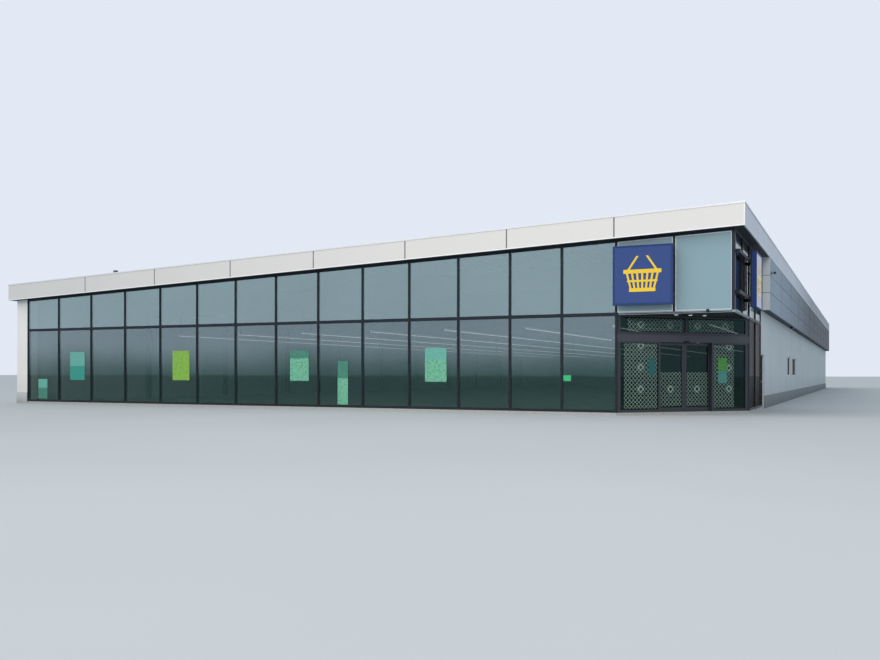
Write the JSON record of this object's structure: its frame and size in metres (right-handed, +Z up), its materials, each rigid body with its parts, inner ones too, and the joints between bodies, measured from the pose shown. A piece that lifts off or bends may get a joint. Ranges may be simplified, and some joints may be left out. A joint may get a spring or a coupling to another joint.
{
  "type": "supermarket building scale model",
  "caption": "Flat supermarket hall at 1:2 with a sloping fascia, a glazed front and an open corner with sliding entrance doors under a glazed bridge.",
  "frame": {"origin": "middle of the floor slab's underside, on the ground, half way between the side walls' outer faces and between the front glazing and the rear wall", "axes": "+X to the right along the glazed front, +Y from the front to the back, +Z up"},
  "size_m": [17.339, 39.389, 3.5853],
  "materials": {
    "floor_concrete": "smooth cast floor",
    "white_render": "fine matt render",
    "plinth_grey": "matt grey plinth render",
    "fascia_panel": "satin light grey panels",
    "coping_metal": "folded sheet",
    "metal_cladding": "silver grey satin panels",
    "soffit_board": "satin dark grey boards",
    "roof_membrane": "matt grey roofing sheet",
    "roof_steel": "matt dark grey paint",
    "window_frame": "satin anthracite powder coat",
    "window_glass": "clear, slightly green",
    "mirror_glass": "coated, mirrors the sky",
    "corner_panel": "opaque enamelled glass",
    "corner_soffit": "satin dark grey board",
    "door_frame": "satin anthracite powder coat",
    "door_glass": "clear, slightly green",
    "sign_box": "glossy light box, bare of any words",
    "lamp_white": "white housing",
    "vent_metal": "matt dark grey",
    "edge_metal": "pale folded sheet",
    "fitting_plastic": "black housings"
  },
  "bodies": {
    "building": {"floor_slab": "floor_concrete", "front_pier": "white_render", "left_wall": "white_render", "rear_wall": "white_render", "right_wall": "white_render", "left_plinth": "plinth_grey", "pier_plinth": "plinth_grey", "rear_plinth": "plinth_grey", "right_plinth": "plinth_grey", "front_fascia": "fascia_panel", "right_fascia": "fascia_panel", "rear_fascia": "fascia_panel", "left_fascia": "fascia_panel", "end_copings": "coping_metal", "side_copings": "coping_metal", "right_cladding": "metal_cladding", "rear_cladding": "metal_cladding", "overhang_soffits": "soffit_board", "cladding_soffits": "soffit_board", "roof_deck": "roof_membrane", "front_beam": "roof_steel", "side_beam": "roof_steel", "roof_beams": "roof_steel", "wall_columns": "roof_steel", "front_frame_lower": "window_frame", "front_frame_upper": "window_frame", "side_frame_lower": "window_frame", "side_frame_upper": "window_frame", "right_wall_frames": "window_frame", "front_glass_lower": "window_glass", "side_glass_lower": "window_glass", "right_wall_glass": "window_glass", "front_glass_upper": "mirror_glass", "side_glass_upper": "mirror_glass", "corner_panels": "corner_panel", "corner_soffit": "corner_soffit", "sidelight_frames": "door_frame", "top_light_frame": "door_frame", "door_operator": "door_frame", "sidelight_glass": "door_glass", "top_light_glass": "door_glass", "front_sign": "sign_box", "side_sign": "sign_box", "ceiling_lights": "lamp_white", "downlights": "lamp_white", "roof_vent": "vent_metal", "bridge_edge": "edge_metal", "door_sensor": "fitting_plastic", "wall_camera": "fitting_plastic", "dome_camera": "fitting_plastic", "wall_lamp": "fitting_plastic"},
    "left_door_leaf": {"left_leaf_frame": "door_frame", "left_leaf_glass": "door_glass"},
    "right_door_leaf": {"right_leaf_frame": "door_frame", "right_leaf_glass": "door_glass"}
  },
  "joints": [
    {"name": "left_door_slide", "type": "slide", "parent": "building", "child": "left_door_leaf", "axis": [-0.6897, -0.7241, 0], "range_m": [0, 0.545]},
    {"name": "right_door_slide", "type": "slide", "parent": "building", "child": "right_door_leaf", "axis": [0.6897, 0.7241, 0], "range_m": [0, 0.545]}
  ],
  "couplings": [
    {"joint": "right_door_slide", "follows": "left_door_slide", "ratio": 1}
  ]
}
